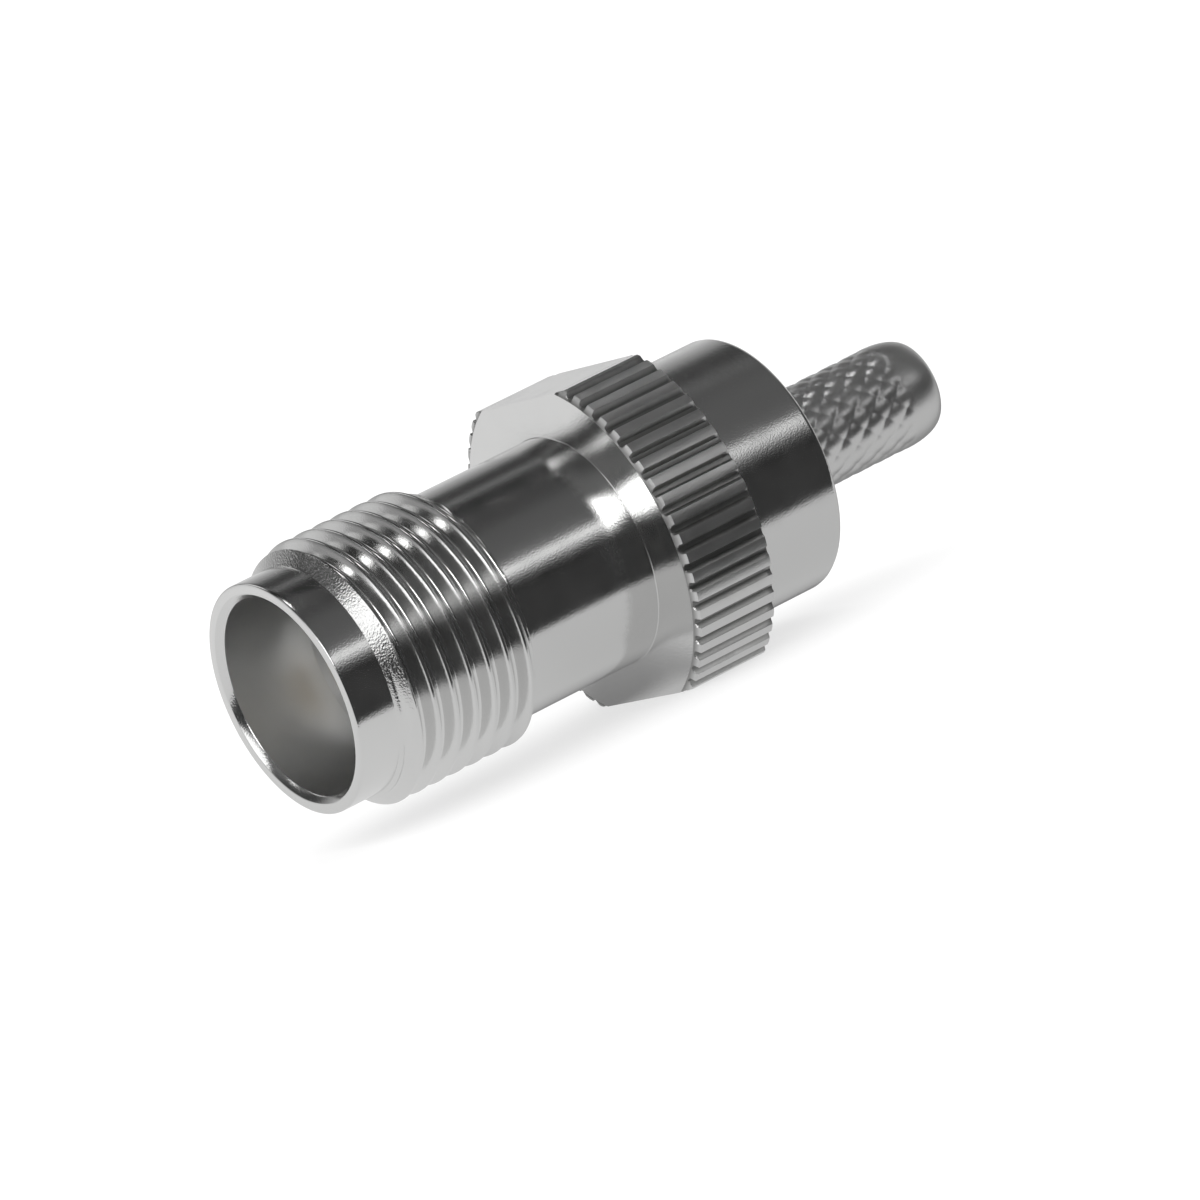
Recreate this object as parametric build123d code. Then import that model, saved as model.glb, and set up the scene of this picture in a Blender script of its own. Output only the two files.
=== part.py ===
from build123d import *
import os
from math import cos, pi, radians, sin, tan

os.makedirs("parts", exist_ok=True)

# A threaded coaxial jack that is crimped onto a cable.
# Sizes are in millimetres. X runs along the axis from the open mouth (x = 0) to the cable end,
# and +Z is square to the upper wrench flat.

# Pilot rim and coupling thread, a 60 degree thread given by its turns to the inch.
rim_diameter = 9.65
rim_length = 1.8
rim_chamfer = 0.1
lip_land = 0.42
thread_diameter = 10.98
thread_length = 6.65
turns_per_inch = 28
thread_depth = 0.53
thread_crest_flat = 0.12
groove_overrun = 0.05
thread_lead_in = 0.55
thread_run_out = 0.5

# Neck, knurled flange with two wrench flats, and collar.
neck_diameter = 9.66
neck_length = 6.15
flange_diameter = 14.6
flange_length = 3.95
flange_chamfer_length = 0.16
flange_chamfer_depth = 0.34
across_flats = 12.7
knurl_teeth = 56
knurl_depth = 0.32
knurl_crest_flat = 0.12
collar_diameter = 10.82
collar_length = 4.9
collar_edge_radius = 0.25

# Mating socket. A short cone takes the entry bore down to the seat bore.
entry_bore = 8.3
entry_depth = 4.15
cone_length = 0.3
seat_bore = 8.1
socket_depth = 8.35

# Insulators, which carry the contact on the axis.
boss_diameter = 4.8
boss_length = 3.3
boss_chamfer = 0.15
core_bore = 7.0
core_length = 4.65
flange_bore = 7.8
insulator_flange = 1.5
rear_insulator_length = 2.5

# Centre contact, a split socket in front and a solder cup behind.
contact_diameter = 2.15
contact_gap = 0.03
contact_setback = 0.15
contact_bore = 1.4
contact_bore_depth = 4.6
slot_width = 0.22
slot_length = 4.0
shoulder_diameter = 3.0
shoulder_length = 0.8
cup_diameter = 1.7
cup_bore = 0.95
cup_length = 2.7
cup_depth = 2.3

# Pressed bushing with the crimp stem, held by the rolled edge of the collar.
bushing_diameter = 8.8
bushing_back_step = 0.45
roll_overlap = 0.45
stem_diameter = 4.35
stem_length = 8.18
stem_nose_length = 1.5
stem_nose_drop = 0.48
cable_bore = 3.1
cable_lead_in = 0.08
contact_cavity = 5.2
contact_cavity_depth = 1.9

# Places along the axis.
thread_pitch = 25.4 / turns_per_inch
thread_end = rim_length + thread_length
flange_front = thread_end + neck_length
flange_back = flange_front + flange_length
collar_back = flange_back + collar_length
boss_front = socket_depth - boss_length
core_back = socket_depth + core_length
contact_shoulder = core_back + insulator_flange
bushing_front = contact_shoulder + rear_insulator_length
bushing_back = collar_back - bushing_back_step
stem_back = collar_back + stem_length


def section(*corners):
    return make_face(Polyline(*corners, close=True))


# A rounded rear corner of a turned profile, as three corners on its quarter circle or ellipse.
def eased(x, outer, length, drop):
    turns = [radians(45) * part for part in range(3)]
    return [(x - length + length * sin(turn), outer - drop + drop * cos(turn)) for turn in turns]


def turned(face):
    return revolve(Plane.XZ * face, Axis.X)


def rod(start, end, diameter):
    return Location((start, 0, 0)) * extrude(Plane.YZ * Circle(diameter / 2), end - start)


# The groove is cut in a longer rod, so that it runs out past both cones, and the rod is then turned down to them.
def thread():
    crest = thread_diameter / 2
    height = thread_depth + groove_overrun
    half_top = (thread_pitch - thread_crest_flat) / 2 + groove_overrun * tan(radians(30))
    half_root = half_top - height * tan(radians(30))
    helix = Helix(
        thread_pitch,
        thread_length + 2 * thread_pitch,
        crest - thread_depth,
        center=(rim_length - thread_pitch, 0, 0),
        direction=(1, 0, 0),
    )
    start = helix @ 0
    across = Plane(origin=start, x_dir=(0, start.Y, start.Z), z_dir=helix % 0)
    profile = section((0, -half_root), (0, half_root), (height, half_top), (height, -half_top))
    groove = sweep(across * profile, path=helix, is_frenet=True)
    stock = rod(rim_length - 2 * thread_pitch, thread_end + 2 * thread_pitch, thread_diameter)
    ends = section(
        (rim_length, 0),
        (rim_length, rim_diameter / 2),
        (rim_length + thread_lead_in, crest),
        (thread_end - thread_run_out, crest),
        (thread_end, neck_diameter / 2),
        (thread_end, 0),
    )
    return (stock - groove) & turned(ends)


# The teeth are cut all round a disc whose edges are chamfered, and the two flats are cut through them.
def knurled_flange():
    crest = flange_diameter / 2
    root = crest - knurl_depth
    step = 2 * pi / knurl_teeth
    half_crest = knurl_crest_flat / crest / 2
    outline = []
    for tooth in range(knurl_teeth):
        middle = (tooth + 0.5) * step
        for radius, angle in (
            (root, tooth * step),
            (crest, middle - half_crest),
            (crest, middle + half_crest),
        ):
            outline.append((radius * cos(angle), radius * sin(angle)))
    teeth = extrude(Plane.YZ.offset(flange_front) * section(*outline), flange_length)
    blank = turned(
        section(
            (flange_front, 0),
            (flange_front, crest - flange_chamfer_depth),
            (flange_front + flange_chamfer_length, crest),
            (flange_back - flange_chamfer_length, crest),
            (flange_back, crest - flange_chamfer_depth),
            (flange_back, 0),
        )
    )
    slab = Location((flange_front + flange_length / 2, 0, 0)) * Box(
        flange_length, flange_diameter, across_flats
    )
    return teeth & blank & slab


def body():
    rim = rim_diameter / 2
    neck = neck_diameter / 2
    collar = collar_diameter / 2
    front = section(
        (0, 0),
        (0, rim - rim_chamfer),
        (rim_chamfer, rim),
        (rim_length, rim),
        (rim_length, 0),
    )
    rear = section(
        (thread_end, 0),
        (thread_end, neck),
        (flange_back, neck),
        (flange_back, collar),
        *eased(collar_back, collar, collar_edge_radius, collar_edge_radius),
        (collar_back, 0),
    )
    entry = entry_bore / 2
    lip = rim - lip_land
    socket = bushing_diameter / 2
    inside = section(
        (0, 0),
        (0, lip),
        (lip - entry, entry),
        (entry_depth, entry),
        (entry_depth + cone_length, seat_bore / 2),
        (socket_depth, seat_bore / 2),
        (socket_depth, core_bore / 2),
        (core_back, core_bore / 2),
        (core_back, flange_bore / 2),
        (bushing_front, flange_bore / 2),
        (bushing_front, socket),
        (bushing_back - roll_overlap, socket),
        (bushing_back, socket - roll_overlap),
        (collar_back, socket - roll_overlap),
        (collar_back, 0),
    )
    return turned(front) + thread() + turned(rear) + knurled_flange() - turned(inside)


def front_insulator():
    boss = boss_diameter / 2
    core = core_bore / 2
    flange = flange_bore / 2
    outside = section(
        (boss_front, 0),
        (boss_front, boss - boss_chamfer),
        (boss_front + boss_chamfer, boss),
        (socket_depth, boss),
        (socket_depth, core),
        (core_back, core),
        (core_back, flange),
        (contact_shoulder, flange),
        (contact_shoulder, 0),
    )
    return turned(outside) - rod(boss_front, contact_shoulder, contact_diameter + 2 * contact_gap)


def rear_insulator():
    ring = rod(contact_shoulder, bushing_front, flange_bore)
    seat = rod(contact_shoulder, contact_shoulder + shoulder_length, shoulder_diameter)
    return ring - seat - rod(contact_shoulder, bushing_front, cup_diameter + 2 * contact_gap)


def centre_contact():
    front = boss_front + contact_setback
    tube = rod(front, contact_shoulder, contact_diameter)
    shoulder = rod(contact_shoulder, contact_shoulder + shoulder_length, shoulder_diameter)
    cup_end = contact_shoulder + shoulder_length + cup_length
    cup = rod(contact_shoulder, cup_end, cup_diameter)
    lead_in = (contact_diameter - contact_bore) / 4
    drilled = turned(
        section(
            (front, 0),
            (front, contact_bore / 2 + lead_in),
            (front + lead_in, contact_bore / 2),
            (front + contact_bore_depth, contact_bore / 2),
            (front + contact_bore_depth + contact_bore / 4, 0),
        )
    )
    slot = Location((front + slot_length / 2, 0, 0)) * Box(
        slot_length, contact_diameter, slot_width
    )
    crossed = Rotation(90, 0, 0) * slot
    return tube + shoulder + cup - drilled - slot - crossed - rod(cup_end - cup_depth, cup_end, cup_bore)


def crimp_stem():
    socket = bushing_diameter / 2
    stem = stem_diameter / 2
    outside = section(
        (bushing_front, 0),
        (bushing_front, socket),
        (bushing_back - roll_overlap, socket),
        (bushing_back, socket - roll_overlap),
        (bushing_back, stem),
        *eased(stem_back, stem, stem_nose_length, stem_nose_drop),
        (stem_back, 0),
    )
    cable = cable_bore / 2
    inside = section(
        (bushing_front, 0),
        (bushing_front, contact_cavity / 2),
        (bushing_front + contact_cavity_depth, contact_cavity / 2),
        (bushing_front + contact_cavity_depth, cable),
        (stem_back - cable_lead_in, cable),
        (stem_back, cable + cable_lead_in),
        (stem_back, 0),
    )
    return turned(outside) - turned(inside)


pieces = {
    "body": body(),
    "front_insulator": front_insulator(),
    "rear_insulator": rear_insulator(),
    "centre_contact": centre_contact(),
    "crimp_stem": crimp_stem(),
}
for name, piece in pieces.items():
    print(name, "solids", len(piece.solids()), "volume", round(piece.volume, 3))
    export_step(piece, f"parts/{name}.step")
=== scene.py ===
import bmesh
import bpy
import math
from mathutils import Matrix, Vector


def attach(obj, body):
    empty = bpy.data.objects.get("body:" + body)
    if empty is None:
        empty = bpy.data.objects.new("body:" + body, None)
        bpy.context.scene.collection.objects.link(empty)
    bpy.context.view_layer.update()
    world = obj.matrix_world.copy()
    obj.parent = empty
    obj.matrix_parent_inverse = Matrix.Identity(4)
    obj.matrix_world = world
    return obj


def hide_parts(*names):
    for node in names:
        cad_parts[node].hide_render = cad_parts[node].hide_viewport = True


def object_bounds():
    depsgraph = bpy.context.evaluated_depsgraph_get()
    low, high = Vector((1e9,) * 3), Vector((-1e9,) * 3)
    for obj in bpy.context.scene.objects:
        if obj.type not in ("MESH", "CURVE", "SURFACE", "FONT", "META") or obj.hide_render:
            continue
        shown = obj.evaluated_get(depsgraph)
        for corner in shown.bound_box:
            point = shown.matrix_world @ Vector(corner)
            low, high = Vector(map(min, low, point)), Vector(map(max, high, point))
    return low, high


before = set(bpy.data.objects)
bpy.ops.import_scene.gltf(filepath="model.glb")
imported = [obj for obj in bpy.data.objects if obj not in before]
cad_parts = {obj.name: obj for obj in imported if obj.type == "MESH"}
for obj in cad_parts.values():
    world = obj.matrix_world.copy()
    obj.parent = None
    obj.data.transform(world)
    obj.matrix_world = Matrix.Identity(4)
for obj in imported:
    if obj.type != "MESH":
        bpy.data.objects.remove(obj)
cadLow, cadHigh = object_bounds()
print("frame loaded, solids", sorted(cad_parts))

mm = 0.001
inch = 25.4
axisX = Vector((1, 0, 0))
cornerSteps = 4        # facets of a rounded corner
mergeGap = 0.0005      # millimetres; points nearer than this become one
shortestEdge = 0.0002  # millimetres
margin = 0.01          # millimetres; slack when a point is matched to a radius or a place along X


# A line of points in the XZ plane. Each is (along the axis, out from it, size of its rounded corner).
def drawProfile(mesh, points):
    corners = [mesh.verts.new((x, 0, out)) for x, out, _ in points]
    edges = [mesh.edges.new(pair) for pair in zip(corners, corners[1:])]
    for corner, (_, _, rounding) in zip(corners, points):
        if rounding:
            bmesh.ops.bevel(
                mesh, geom=[corner], offset=rounding, offset_type="OFFSET", affect="VERTICES",
                segments=cornerSteps, profile=0.5, material=-1,
            )
    return list(mesh.verts), list(mesh.edges)


def turnProfile(mesh, points, steps):
    verts, edges = drawProfile(mesh, points)
    bmesh.ops.spin(
        mesh, geom=verts + edges, cent=(0, 0, 0), axis=axisX, angle=math.tau,
        steps=steps, use_merge=True,
    )


def finishPiece(mesh, name, materials, sharpAngle, slotName, *nodes):
    bmesh.ops.remove_doubles(mesh, verts=mesh.verts, dist=mergeGap)
    bmesh.ops.dissolve_degenerate(mesh, edges=mesh.edges, dist=shortestEdge)
    bmesh.ops.recalc_face_normals(mesh, faces=mesh.faces)
    bmesh.ops.scale(mesh, vec=(mm, mm, mm), verts=mesh.verts)
    for face in mesh.faces:
        face.smooth = True
    for edge in mesh.edges:
        edge.smooth = len(edge.link_faces) == 2 and edge.calc_face_angle() < math.radians(sharpAngle)
    openEdges = sum(1 for edge in mesh.edges if not edge.is_manifold)
    data = bpy.data.meshes.new(name)
    mesh.to_mesh(data)
    mesh.free()
    piece = bpy.data.objects.new(name, data)
    bpy.context.scene.collection.objects.link(piece)
    for material in materials:
        data.materials.append(material)
    weighted = piece.modifiers.new("evenNormals", "WEIGHTED_NORMAL")
    weighted.keep_sharp = True
    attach(piece, "root")
    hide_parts(*nodes)
    print(name, "faces", len(data.polygons), "open edges", openEdges)


def startMaterial(name):
    material = bpy.data.materials.new(name)
    material.use_nodes = True
    tree = material.node_tree
    return material, tree, tree.nodes["Principled BSDF"]


def noise(tree, place, scale, detail):
    node = tree.nodes.new("ShaderNodeTexNoise")
    node.inputs["Scale"].default_value = scale
    node.inputs["Detail"].default_value = detail
    tree.links.new(place, node.inputs["Vector"])
    return node.outputs["Fac"]


def bumped(tree, source, height, under=None):
    node = tree.nodes.new("ShaderNodeBump")
    node.inputs["Strength"].default_value = 1
    node.inputs["Distance"].default_value = height
    tree.links.new(source, node.inputs["Height"])
    if under:
        tree.links.new(under, node.inputs["Normal"])
    return node.outputs["Normal"]


# A value taken from one range to another, evenly or with soft ends.
def mapped(tree, source, fromRange, toRange=(0, 1), soft=False):
    node = tree.nodes.new("ShaderNodeMapRange")
    if soft:
        node.interpolation_type = "SMOOTHSTEP"
    for side, number in zip(("From Min", "From Max", "To Min", "To Max"), (*fromRange, *toRange)):
        node.inputs[side].default_value = number
    tree.links.new(source, node.inputs["Value"])
    return node.outputs["Result"]


# A colour between two others, by a value from 0 to 1.
def tinted(tree, factor, first, second):
    node = tree.nodes.new("ShaderNodeMix")
    node.data_type = "RGBA"
    node.inputs["A"].default_value = first
    node.inputs["B"].default_value = second
    tree.links.new(factor, node.inputs["Factor"])
    return node.outputs["Result"]


# A brightness read from stops, each of them (place from 0 to 1, brightness).
def ramped(tree, source, stops):
    ramp = tree.nodes.new("ShaderNodeValToRGB")
    elements = ramp.color_ramp.elements
    while len(elements) < len(stops):
        elements.new(0.5)
    for element, (where, value) in zip(elements, stops):
        element.position = where
        element.color = (value, value, value, 1)
    tree.links.new(source, ramp.inputs["Fac"])
    return ramp.outputs["Color"]


# Bright plate: a neutral metal with faint turning rings, patchy gloss and small pits, in metres.
# One finish keeps its gloss and dull roughness both under 0.27 or both over 0.28, because the
# denoiser treats the two sides apart and would leave patches.
plateLook = {
    "colour": (0.75, 0.75, 0.745, 1), "gloss": 0.11, "dull": 0.17,
    "patchScale": 900, "patchDetail": 3, "patchRange": (0.35, 0.7),
    "ringScale": 5200, "ringDetail": 3, "ringHeight": 0.0000006,
    "pitScale": 14000, "pitDetail": 1, "pitHeight": 0.0000035,
}


def platedMetal(name, look):
    material, tree, shader = startMaterial(name)
    shader.inputs["Base Color"].default_value = look["colour"]
    shader.inputs["Metallic"].default_value = 1
    place = tree.nodes.new("ShaderNodeTexCoord").outputs["Object"]
    patches = noise(tree, place, look["patchScale"], look["patchDetail"])
    roughness = mapped(tree, patches, look["patchRange"], (look["gloss"], look["dull"]))
    tree.links.new(roughness, shader.inputs["Roughness"])
    split = tree.nodes.new("ShaderNodeSeparateXYZ")
    tree.links.new(place, split.inputs["Vector"])
    rings = tree.nodes.new("ShaderNodeTexNoise")
    rings.noise_dimensions = "1D"
    rings.inputs["Scale"].default_value = look["ringScale"]
    rings.inputs["Detail"].default_value = look["ringDetail"]
    tree.links.new(split.outputs["X"], rings.inputs["W"])
    turned = bumped(tree, rings.outputs["Fac"], look["ringHeight"])
    pits = noise(tree, place, look["pitScale"], look["pitDetail"])
    tree.links.new(bumped(tree, pits, look["pitHeight"], turned), shader.inputs["Normal"])
    return material


brightPlate = platedMetal("brightPlate", plateLook)
knurledPlate = platedMetal("knurledPlate", dict(plateLook, gloss=0.285, dull=0.38, pitHeight=0.000008))
threadPlate = platedMetal("threadPlate", dict(plateLook, gloss=0.13, dull=0.22, pitHeight=0.0000025))
borePlate = platedMetal("borePlate", dict(plateLook, gloss=0.285, dull=0.32, pitHeight=0.000001))
conePlate = platedMetal("conePlate", dict(
    plateLook, gloss=0.14, dull=0.24, pitScale=12000, pitHeight=0.000014,
))
stemPlate = platedMetal("stemPlate", dict(plateLook, gloss=0.31, dull=0.4))
goldPlate = platedMetal("goldPlate", dict(
    plateLook, colour=(0.83, 0.60, 0.24, 1), gloss=0.18, dull=0.26,
))

# The flange's plate is painted darker at the bottom of the grooves: painted shade, where the grooves see
# little light. The places are metres out from the axis.
grooveShadeLook = {"colour": (0.36, 0.36, 0.355, 1), "bottom": 0.007, "top": 0.0072}


def paintGrooveShade(material, look):
    tree = material.node_tree
    shader = tree.nodes["Principled BSDF"]
    place = tree.nodes.new("ShaderNodeTexCoord")
    across = tree.nodes.new("ShaderNodeVectorMath")
    across.operation = "MULTIPLY"
    across.inputs[1].default_value = (0, 1, 1)
    tree.links.new(place.outputs["Object"], across.inputs[0])
    outward = tree.nodes.new("ShaderNodeVectorMath")
    outward.operation = "LENGTH"
    tree.links.new(across.outputs["Vector"], outward.inputs[0])
    height = mapped(tree, outward.outputs["Value"], (look["bottom"], look["top"]))
    # Painted shade: the base colour darkens towards the bottom of the grooves.
    paintedTone = tinted(tree, height, look["colour"], shader.inputs["Base Color"].default_value)
    tree.links.new(paintedTone, shader.inputs["Base Color"])


paintGrooveShade(knurledPlate, grooveShadeLook)
print("plated finishes made")

# The turned shell, in millimetres along X from the mouth and out from the axis.
shellSize = {
    "rimRadius": 4.825, "rimLength": 1.8, "lipRadius": 4.405, "lipRound": 0.07, "edgeBreak": 0.04,
    "lipLoop": 3,           # rounds from the lip to the loop that keeps the rim's shading even
    "threadRadius": 5.49, "threadEnd": 8.45, "threadDepth": 0.53, "threadAngle": 60, "turnsPerInch": 28,
    "crestFlat": 0.12, "crestRound": 0.03, "rootRound": 0.1, "leadIn": 0.55, "runOut": 0.5,
    "threadPhase": 0.27,    # from the rim's end to a crest, on the shell's top
    "roughShare": 0.9,      # how much of the lead-in cone has the rough finish
    "longFacet": 0.1,       # edges of the thread's profile that are longer are cut up
    "facetCuts": 3,
    "neckRadius": 4.83, "flangeFront": 14.6, "flangeBack": 18.55, "flangeRadius": 7.3, "halfFlats": 6.35,
    "chamferLength": 0.16, "chamferDepth": 0.34, "chamferRows": (0, 0.3, 0.55, 0.8, 1),
    "teeth": 56, "toothDepth": 0.3,
    # One tooth, from groove to groove: (share of its step, share of its height).
    "toothPoints": ((0, 0), (0.12, 0.04), (0.25, 0.94), (0.5, 1), (0.75, 0.94), (0.88, 0.04)),
    "collarRadius": 5.41, "collarBack": 23.45, "collarRound": 0.25,
    "entryRadius": 4.15, "entryDepth": 4.15, "coneLength": 0.3, "seatRadius": 4.05, "socketDepth": 8.35,
    "coreRadius": 3.5, "coreBack": 13.0, "insulatorRadius": 3.9,
    "bushingFront": 17.0, "bushingRadius": 4.4, "bushingBack": 23.0, "rollOverlap": 0.45,
    "sharpAngle": 24,       # degrees
}
pointsPerTooth = len(shellSize["toothPoints"])
ringSteps = shellSize["teeth"] * pointsPerTooth


# The thread is one pitch of its profile, turned along a helix, then held inside the cones at its two ends.
def buildThread(mesh, size):
    pitch = inch / size["turnsPerInch"]
    crest = size["threadRadius"]
    root = crest - size["threadDepth"]
    halfCrest = size["crestFlat"] / 2
    flank = size["threadDepth"] * math.tan(math.radians(size["threadAngle"] / 2))
    early = 2  # turns that start before the thread does
    first = size["rimLength"] - pitch * early + size["threadPhase"]
    turns = math.ceil((size["threadEnd"] - size["rimLength"]) / pitch) + early + 1
    verts, edges = drawProfile(mesh, [
        (first, crest, 0),
        (first + halfCrest, crest, size["crestRound"]),
        (first + halfCrest + flank, root, size["rootRound"]),
        (first + pitch - halfCrest - flank, root, size["rootRound"]),
        (first + pitch - halfCrest, crest, size["crestRound"]),
        (first + pitch, crest, 0),
    ])
    longEdges = [edge for edge in edges if edge.calc_length() > size["longFacet"]]
    bmesh.ops.subdivide_edges(mesh, edges=longEdges, cuts=size["facetCuts"])
    bmesh.ops.spin(
        mesh, geom=list(mesh.verts) + list(mesh.edges), cent=(0, 0, 0), axis=axisX,
        dvec=(pitch / ringSteps, 0, 0), angle=math.tau, steps=ringSteps, use_merge=False,
    )
    oneTurn = list(mesh.verts) + list(mesh.edges) + list(mesh.faces)
    for turn in range(1, turns):
        copied = bmesh.ops.duplicate(mesh, geom=oneTurn)["geom"]
        copiedVerts = [part for part in copied if isinstance(part, bmesh.types.BMVert)]
        bmesh.ops.translate(mesh, vec=(turn * pitch, 0, 0), verts=copiedVerts)
    bmesh.ops.remove_doubles(mesh, verts=mesh.verts, dist=mergeGap)
    leadSlope = (crest - size["rimRadius"]) / size["leadIn"]
    runOutSlope = (crest - size["neckRadius"]) / size["runOut"]
    for vert in mesh.verts:
        x = min(max(vert.co.x, size["rimLength"]), size["threadEnd"])
        radius = math.hypot(vert.co.y, vert.co.z)
        limit = min(
            radius,
            size["rimRadius"] + (x - size["rimLength"]) * leadSlope,
            size["neckRadius"] + (size["threadEnd"] - x) * runOutSlope,
        )
        vert.co = (x, vert.co.y * limit / radius, vert.co.z * limit / radius)


# Teeth and flats are pressed into the turned flange: points beyond the tooth or the flat come in to it.
# Between the chamfers, groove bottoms under a flat come up to it, so that its long edges are clean.
def cutKnurl(mesh, size):
    step = math.tau / size["teeth"]
    root = size["flangeRadius"] - size["toothDepth"]
    low, high = size["flangeFront"] - margin, size["flangeBack"] + margin
    innerRow = size["flangeRadius"] - size["chamferDepth"] - margin
    flatHalfWidth = math.sqrt(size["flangeRadius"] ** 2 - size["halfFlats"] ** 2)
    for vert in mesh.verts:
        radius = math.hypot(vert.co.y, vert.co.z)
        if not (low < vert.co.x < high and radius > innerRow):
            continue
        onFullRow = radius > size["flangeRadius"] - margin
        angle = math.atan2(vert.co.y, vert.co.z) % math.tau
        tooth, part = divmod(round(angle / step * pointsPerTooth), pointsPerTooth)
        place, height = size["toothPoints"][part]
        angle = (tooth + place) * step
        radius = min(radius, root + size["toothDepth"] * height)
        y, z = radius * math.sin(angle), radius * math.cos(angle)
        if abs(z) > size["halfFlats"] or (onFullRow and abs(y) < flatHalfWidth):
            z = math.copysign(size["halfFlats"], z)
        vert.co = (vert.co.x, y, z)


# The finish of each zone of the shell, and the slack in millimetres when a face is matched to a zone.
shellPlates = {
    "bright": brightPlate, "knurl": knurledPlate, "thread": threadPlate, "bore": borePlate,
    "cone": conePlate,
}
zoneSlack = {"flat": 0.001, "knurl": 0.02, "wall": 0.1}


def plateZone(middle, size):
    out = math.hypot(middle.y, middle.z)
    knurlFloor = size["flangeRadius"] - size["toothDepth"] - zoneSlack["knurl"]
    inFlange = size["flangeFront"] + margin < middle.x < size["flangeBack"] - margin
    if inFlange and out > knurlFloor and abs(middle.z) < size["halfFlats"] - zoneSlack["flat"]:
        return "knurl"
    onThread = size["rimLength"] < middle.x < size["threadEnd"]
    if onThread and out > size["entryRadius"] + zoneSlack["wall"]:
        onCone = middle.x < size["rimLength"] + size["leadIn"] * size["roughShare"]
        return "cone" if onCone else "thread"
    inSocket = size["lipRadius"] - size["entryRadius"] < middle.x < size["socketDepth"]
    if inSocket and out < size["rimRadius"] - zoneSlack["wall"]:
        return "bore"
    return "bright"


def buildShell(size):
    mesh = bmesh.new()
    edge = size["edgeBreak"]
    cone = [
        (share * size["chamferLength"], size["flangeRadius"] - (1 - share) * size["chamferDepth"])
        for share in size["chamferRows"]
    ]
    roll = size["bushingRadius"] - size["rollOverlap"]
    turnProfile(mesh, [
        (size["threadEnd"], size["neckRadius"], 0),
        (size["flangeFront"], size["neckRadius"], edge),
        *[(size["flangeFront"] + depth, radius, 0) for depth, radius in cone],
        *[(size["flangeBack"] - depth, radius, 0) for depth, radius in reversed(cone)],
        (size["flangeBack"], size["collarRadius"], edge),
        (size["collarBack"], size["collarRadius"], size["collarRound"]),
        (size["collarBack"], roll, edge),
        (size["bushingBack"], roll, 0),
        (size["bushingBack"] - size["rollOverlap"], size["bushingRadius"], 0),
        (size["bushingFront"], size["bushingRadius"], 0),
        (size["bushingFront"], size["insulatorRadius"], 0),
        (size["coreBack"], size["insulatorRadius"], 0),
        (size["coreBack"], size["coreRadius"], 0),
        (size["socketDepth"], size["coreRadius"], edge),
        (size["socketDepth"], size["seatRadius"], edge),
        (size["entryDepth"] + size["coneLength"], size["seatRadius"], edge),
        (size["entryDepth"], size["entryRadius"], edge),
        (size["lipRadius"] - size["entryRadius"], size["entryRadius"], edge),
        (0, size["lipRadius"], edge),
        (0, size["rimRadius"], size["lipRound"]),
        (size["lipRound"] * size["lipLoop"], size["rimRadius"], 0),
        (size["rimLength"], size["rimRadius"], 0),
    ], ringSteps)
    cutKnurl(mesh, size)
    threadMesh = bmesh.new()
    buildThread(threadMesh, size)
    holder = bpy.data.meshes.new("threadHolder")
    threadMesh.to_mesh(holder)
    threadMesh.free()
    mesh.from_mesh(holder)
    bpy.data.meshes.remove(holder)
    zones = list(shellPlates)
    for face in mesh.faces:
        face.material_index = zones.index(plateZone(face.calc_center_median(), size))
    plates = list(shellPlates.values())
    finishPiece(mesh, "shell", plates, size["sharpAngle"], "plated_shell", "body")


buildShell(shellSize)

# The bushing and its knurled stem, in millimetres. The nose is a quarter ellipse.
stemSize = {
    "front": 17.0, "radius": 4.4, "shoulder": 22.55, "back": 23.0, "shoulderRadius": 3.95,
    "stemRadius": 2.175, "end": 31.63, "noseLength": 1.5, "noseDrop": 0.48, "noseSteps": 10,
    "bore": 1.55, "boreLead": 0.08, "boreRound": 0.03, "cavity": 2.6, "cavityDepth": 1.9,
    "knurlStart": 23.2, "knurlEnd": 30.12, "knurlFade": 0.35,
    "diamonds": 14, "diamondLength": 1.09, "diamondDepth": 0.08, "deeperShare": 0.6,
    "steps": 252, "rowLength": 0.046,
    "sharpAngle": 40,       # degrees
}


# How deep the knurl is at a place on the stem: two sets of V grooves cross, and one is rolled deeper.
def diamondCut(x, angle, size):
    around = angle / math.tau * size["diamonds"]
    along = (x - size["knurlStart"]) / size["diamondLength"]
    first = 1 - abs(math.sin(math.pi * (around + along)))
    second = 1 - abs(math.sin(math.pi * (around - along)))
    deepest = first * (1 - size["deeperShare"]) + second * size["deeperShare"]
    fadeIn = (x - size["knurlStart"]) / size["knurlFade"]
    fadeOut = (size["knurlEnd"] - x) / size["knurlFade"]
    return size["diamondDepth"] * deepest * max(0, min(1, fadeIn, fadeOut))


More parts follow.
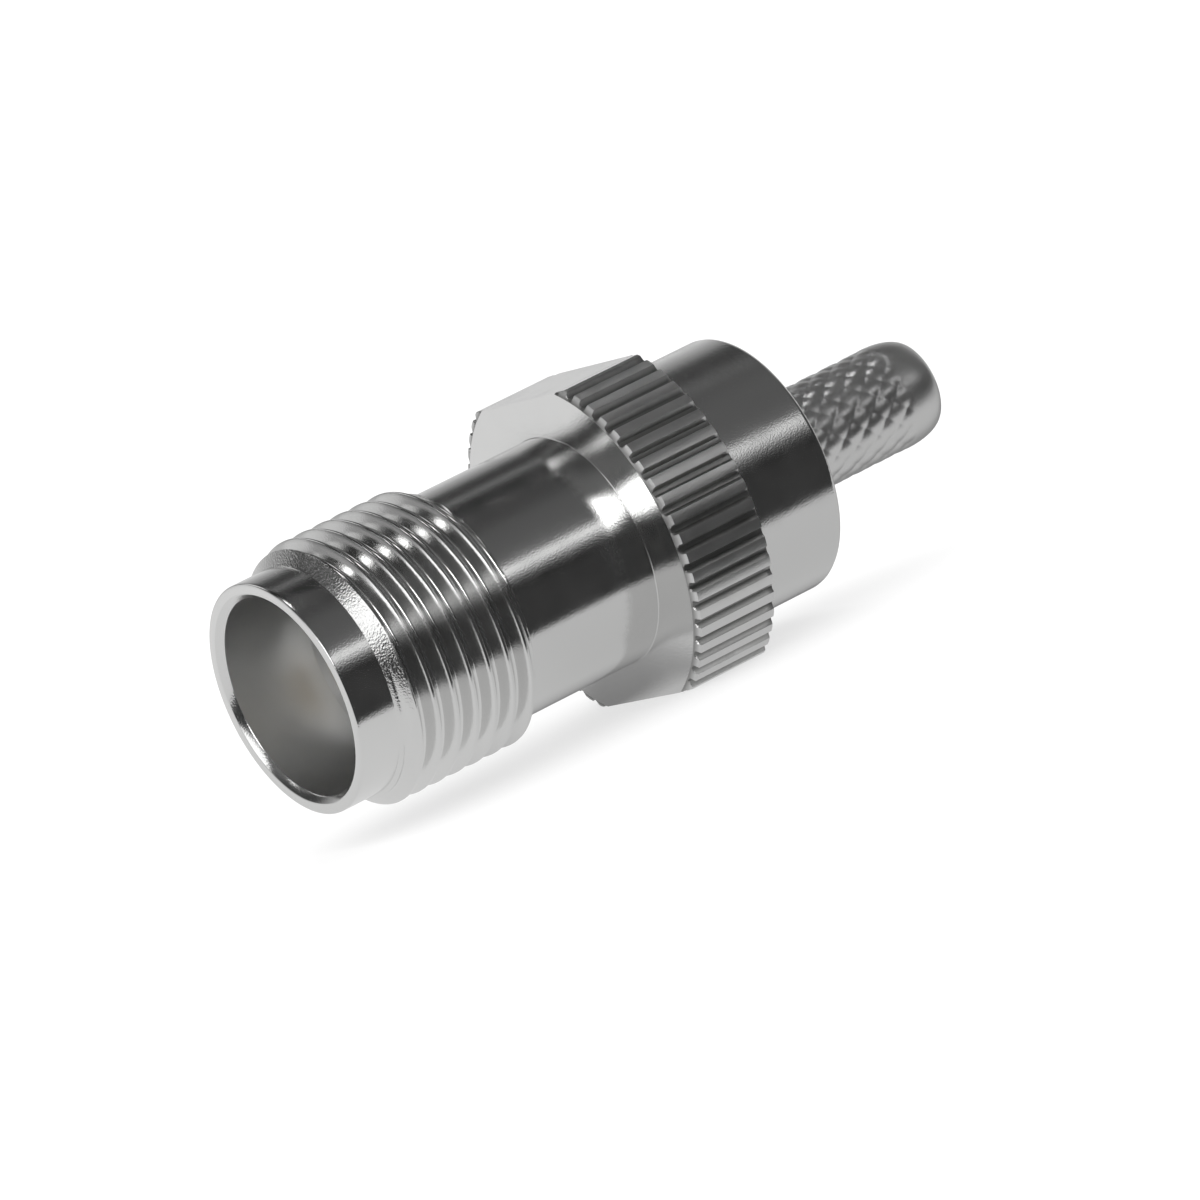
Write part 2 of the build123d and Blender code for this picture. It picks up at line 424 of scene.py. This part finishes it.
def buildStem(size):
    mesh = bmesh.new()
    turns = [math.pi / 2 * part / size["noseSteps"] for part in range(size["noseSteps"] + 1)]
    noseStart = size["end"] - size["noseLength"]
    noseFoot = size["stemRadius"] - size["noseDrop"]
    nose = [
        (noseStart + size["noseLength"] * math.sin(turn), noseFoot + size["noseDrop"] * math.cos(turn), 0)
        for turn in turns
    ]
    turnProfile(mesh, [
        (size["front"], size["cavity"], 0),
        (size["front"], size["radius"], 0),
        (size["shoulder"], size["radius"], 0),
        (size["back"], size["shoulderRadius"], 0),
        (size["back"], size["stemRadius"], 0),
        (size["knurlStart"], size["stemRadius"], 0),
        (size["knurlEnd"], size["stemRadius"], 0),
        *nose,
        (size["end"], size["bore"] + size["boreLead"], 0),
        (size["end"] - size["boreLead"], size["bore"], size["boreRound"]),
        (size["front"] + size["cavityDepth"], size["bore"], 0),
        (size["front"] + size["cavityDepth"], size["cavity"], 0),
        (size["front"], size["cavity"], 0),
    ], size["steps"])
    knurlLength = size["knurlEnd"] - size["knurlStart"]
    onCrest = size["stemRadius"] - margin
    longEdges = []
    for edge in mesh.edges:
        one, other = edge.verts[0].co, edge.verts[1].co
        outside = math.hypot(one.y, one.z) > onCrest and min(one.x, other.x) > size["back"]
        if outside and abs(one.x - other.x) > knurlLength - margin:
            longEdges.append(edge)
    rows = round(knurlLength / size["rowLength"])
    bmesh.ops.subdivide_edges(mesh, edges=longEdges, cuts=rows - 1, use_grid_fill=True)
    for vert in mesh.verts:
        radius = math.hypot(vert.co.y, vert.co.z)
        if size["knurlStart"] < vert.co.x < size["knurlEnd"] and radius > onCrest:
            angle = math.atan2(vert.co.y, vert.co.z)
            share = 1 - diamondCut(vert.co.x, angle, size) / radius
            vert.co = (vert.co.x, vert.co.y * share, vert.co.z * share)
    finishPiece(mesh, "stem", [stemPlate], size["sharpAngle"], "plated_stem", "crimp_stem")


buildStem(stemSize)

# White insulator, slightly waxy, with a cloudy tint and a fine grain, in metres.
sleeveLook = {
    "darker": (0.74, 0.74, 0.72, 1), "lighter": (0.84, 0.84, 0.83, 1),
    "cloudScale": 700, "cloudDetail": 4, "grainScale": 9000, "grainDetail": 2, "grainHeight": 0.000004,
    "roughness": 0.42, "waxiness": 0.2, "waxDepth": (0.0008, 0.0008, 0.0007),
}


def waxyWhite(name, look):
    material, tree, shader = startMaterial(name)
    place = tree.nodes.new("ShaderNodeTexCoord").outputs["Object"]
    cloud = noise(tree, place, look["cloudScale"], look["cloudDetail"])
    tree.links.new(tinted(tree, cloud, look["darker"], look["lighter"]), shader.inputs["Base Color"])
    shader.inputs["Roughness"].default_value = look["roughness"]
    shader.inputs["Subsurface Weight"].default_value = look["waxiness"]
    shader.inputs["Subsurface Radius"].default_value = look["waxDepth"]
    grain = noise(tree, place, look["grainScale"], look["grainDetail"])
    tree.links.new(bumped(tree, grain, look["grainHeight"]), shader.inputs["Normal"])
    return material


whiteSleeve = waxyWhite("whiteSleeve", sleeveLook)
innerFinish = {
    "front_insulator": whiteSleeve, "rear_insulator": whiteSleeve, "centre_contact": goldPlate,
}
for node, material in innerFinish.items():
    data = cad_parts[node].data
    data.materials.clear()
    data.materials.append(material)
print("insulators and contact finished")

# Studio floor, in metres. To the camera it is pale paper with a little glow, which keeps the part's
# shadow faint. The polished metal sees instead painted, glowing tones of a lit table, which change along Y
# and are dark in front of the table's edge. They are "open" at the part's mouth and fade to "shaded", a
# painted shadow of the part behind it, at its flange. Each stop is (place along Y, brightness).
studio = {
    "floorHeight": cadLow.z, "floorSize": 8, "paper": (0.9, 0.9, 0.9, 1), "glow": 0.6,
    "across": (-0.012, 0.06), "shadeAlong": (0.002, 0.014),
    "open": ((-0.0102, 0.035), (-0.0092, 0.7), (0.0, 0.74), (0.02, 0.74), (0.06, 0.82)),
    "shaded": (
        (-0.0102, 0.035), (-0.0092, 0.6), (-0.001, 0.57), (0.0025, 0.26), (0.009, 0.26),
        (0.022, 0.5), (0.06, 0.75),
    ),
}


def buildFloor(look):
    material = bpy.data.materials.new("paleFloor")
    material.use_nodes = True
    tree = material.node_tree
    tree.nodes.clear()
    output = tree.nodes.new("ShaderNodeOutputMaterial")
    paper = tree.nodes.new("ShaderNodeBsdfDiffuse")
    paper.inputs["Color"].default_value = look["paper"]
    glow = tree.nodes.new("ShaderNodeEmission")
    pale = tree.nodes.new("ShaderNodeMixShader")
    pale.inputs["Fac"].default_value = look["glow"]
    tree.links.new(paper.outputs["BSDF"], pale.inputs[1])
    tree.links.new(glow.outputs["Emission"], pale.inputs[2])
    place = tree.nodes.new("ShaderNodeTexCoord")
    split = tree.nodes.new("ShaderNodeSeparateXYZ")
    tree.links.new(place.outputs["Object"], split.inputs["Vector"])
    low, high = look["across"]
    across = mapped(tree, split.outputs["Y"], look["across"])
    along = mapped(tree, split.outputs["X"], look["shadeAlong"], soft=True)
    paintedTone = tree.nodes.new("ShaderNodeMix")
    paintedTone.data_type = "RGBA"
    tree.links.new(along, paintedTone.inputs["Factor"])
    for part, socket in (("open", "A"), ("shaded", "B")):
        stops = [((y - low) / (high - low), value) for y, value in look[part]]
        tree.links.new(ramped(tree, across, stops), paintedTone.inputs[socket])
    # Painted reflection: mirrored rays see these tones as glow, with the part's shadow painted in.
    paintedFloorGlow = tree.nodes.new("ShaderNodeEmission")
    tree.links.new(paintedTone.outputs["Result"], paintedFloorGlow.inputs["Color"])
    rays = tree.nodes.new("ShaderNodeLightPath")
    choose = tree.nodes.new("ShaderNodeMixShader")
    tree.links.new(rays.outputs["Is Glossy Ray"], choose.inputs["Fac"])
    tree.links.new(pale.outputs["Shader"], choose.inputs[1])
    tree.links.new(paintedFloorGlow.outputs["Emission"], choose.inputs[2])
    tree.links.new(choose.outputs["Shader"], output.inputs["Surface"])
    mesh = bmesh.new()
    bmesh.ops.create_grid(mesh, x_segments=1, y_segments=1, size=look["floorSize"] / 2)
    bmesh.ops.translate(mesh, vec=(0, 0, look["floorHeight"]), verts=mesh.verts)
    data = bpy.data.meshes.new("floor")
    mesh.to_mesh(data)
    mesh.free()
    data.materials.append(material)
    floor = bpy.data.objects.new("floor", data)
    bpy.context.scene.collection.objects.link(floor)


buildFloor(studio)

# Room light, in degrees. Azimuth 0 is the camera's side of the part and 90 is its cable end.
# The room's back and the sides of its front have a brightness at several elevations, and so has the
# bright strip at the front, right of its middle. Each limit is a range of the direction's X or Y in
# which one fades into the next. Each soft light is an azimuth, an elevation, the radius of its even
# part and of its soft edge, and a strength. What isn't a mirrored ray sees the even fill instead.
roomLight = {
    "fill": 1.9,
    "stripStart": (0.05, 0.3), "stripEnd": (0.64, 0.76), "backStart": (-0.1, 0.25),
    "frontStrip": (
        (-90, 0.03), (4, 0.03), (9, 0.12), (13, 0.5), (17, 1.25), (20, 1.15), (24, 0.2),
        (33, 0.15), (50, 0.13), (60, 0.07), (90, 0.1),
    ),
    "frontSides": (
        (-90, 0.03), (4, 0.04), (20, 0.1), (38, 0.12), (46, 0.22), (56, 0.2), (66, 0.08), (90, 0.1),
    ),
    "back": (
        (-90, 0.6), (0, 0.85), (8, 0.85), (15, 0.72), (31, 0.36), (38, 0.1), (46, 0.06), (50, 0.12),
        (53, 0.3), (56, 0.06), (61, 0.02), (90, 0.06),
    ),
    "lights": {
        "frontBox": (-36, 25, 12, 16, 4.0),
        "leftBox": (-80, 19, 13, 19, 1.7),
        "topLight": (80, 73, 3, 6, 6.0),
        "backTop": (178, 52, 13, 19, 1.0),
        "backLow": (-150, 22, 8, 13, 0.35),
        "backLamp": (-108, 58, 4, 8, 1.3),
    },
}


def aimAt(azimuth, elevation):
    a, e = math.radians(azimuth), math.radians(elevation)
    return Vector((math.sin(a) * math.cos(e), -math.cos(a) * math.cos(e), math.sin(e)))


def buildRoom(look):
    world = bpy.data.worlds.new("studioRoom")
    bpy.context.scene.world = world
    world.use_nodes = True
    world.cycles.sampling_method = "NONE"
    tree = world.node_tree
    tree.nodes.clear()
    direction = tree.nodes.new("ShaderNodeTexCoord").outputs["Generated"]
    split = tree.nodes.new("ShaderNodeSeparateXYZ")
    tree.links.new(direction, split.inputs["Vector"])
    toRight, toBack, upward = split.outputs["X"], split.outputs["Y"], split.outputs["Z"]
    height = mapped(tree, upward, (-1, 1))

    def joined(operation, first, second):
        node = tree.nodes.new("ShaderNodeMath")
        node.operation = operation
        tree.links.new(first, node.inputs[0])
        tree.links.new(second, node.inputs[1])
        return node.outputs["Value"]

    def faded(factor, first, second):
        node = tree.nodes.new("ShaderNodeMix")
        tree.links.new(factor, node.inputs["Factor"])
        tree.links.new(first, node.inputs["A"])
        tree.links.new(second, node.inputs["B"])
        return node.outputs["Result"]

    def byElevation(stops):
        return ramped(tree, height, [((math.sin(math.radians(up)) + 1) / 2, value) for up, value in stops])

    pastStart = mapped(tree, toRight, look["stripStart"], soft=True)
    beforeEnd = mapped(tree, toRight, look["stripEnd"], (1, 0), soft=True)
    inStrip = joined("MULTIPLY", pastStart, beforeEnd)
    front = faded(inStrip, byElevation(look["frontSides"]), byElevation(look["frontStrip"]))
    atBack = mapped(tree, toBack, look["backStart"], soft=True)
    total = faded(atBack, front, byElevation(look["back"]))
    for azimuth, elevation, evenRadius, edgeRadius, strength in look["lights"].values():
        near = tree.nodes.new("ShaderNodeVectorMath")
        near.operation = "DOT_PRODUCT"
        near.inputs[1].default_value = aimAt(azimuth, elevation)
        tree.links.new(direction, near.inputs[0])
        rim = (math.cos(math.radians(edgeRadius)), math.cos(math.radians(evenRadius)))
        glow = mapped(tree, near.outputs["Value"], rim, (0, strength), soft=True)
        total = joined("ADD", total, glow)
    rays = tree.nodes.new("ShaderNodeLightPath")
    brightness = tree.nodes.new("ShaderNodeMix")
    brightness.inputs["A"].default_value = look["fill"]
    tree.links.new(rays.outputs["Is Glossy Ray"], brightness.inputs["Factor"])
    tree.links.new(total, brightness.inputs["B"])
    room = tree.nodes.new("ShaderNodeBackground")
    tree.links.new(brightness.outputs["Result"], room.inputs["Strength"])
    output = tree.nodes.new("ShaderNodeOutputWorld")
    tree.links.new(room.outputs["Background"], output.inputs["Surface"])


buildRoom(roomLight)

# Camera, at the photo's viewing angle: a long lens, low over the floor and rolled. Metres from the mouth.
cameraSet = {
    "place": (-0.188414, -0.356569, 0.044546), "look": (0.49152, 0.86352, -0.11286),
    "up": (0.39270, -0.10411, 0.91375), "lens": 316.62, "sensor": 36, "nearest": 0.01, "furthest": 20,
}


def buildCamera(view):
    lens = bpy.data.cameras.new("camera")
    lens.lens = view["lens"]
    lens.sensor_width = view["sensor"]
    lens.clip_start = view["nearest"]
    lens.clip_end = view["furthest"]
    camera = bpy.data.objects.new("camera", lens)
    bpy.context.scene.collection.objects.link(camera)
    look, up = Vector(view["look"]).normalized(), Vector(view["up"])
    right = look.cross(up).normalized()
    aim = Matrix((right, right.cross(look), -look)).transposed().to_4x4()
    camera.matrix_world = Matrix.Translation(view["place"]) @ aim
    bpy.context.scene.camera = camera


buildCamera(cameraSet)
bpy.context.scene.view_settings.view_transform = "Standard"
print("floor, room and camera set")
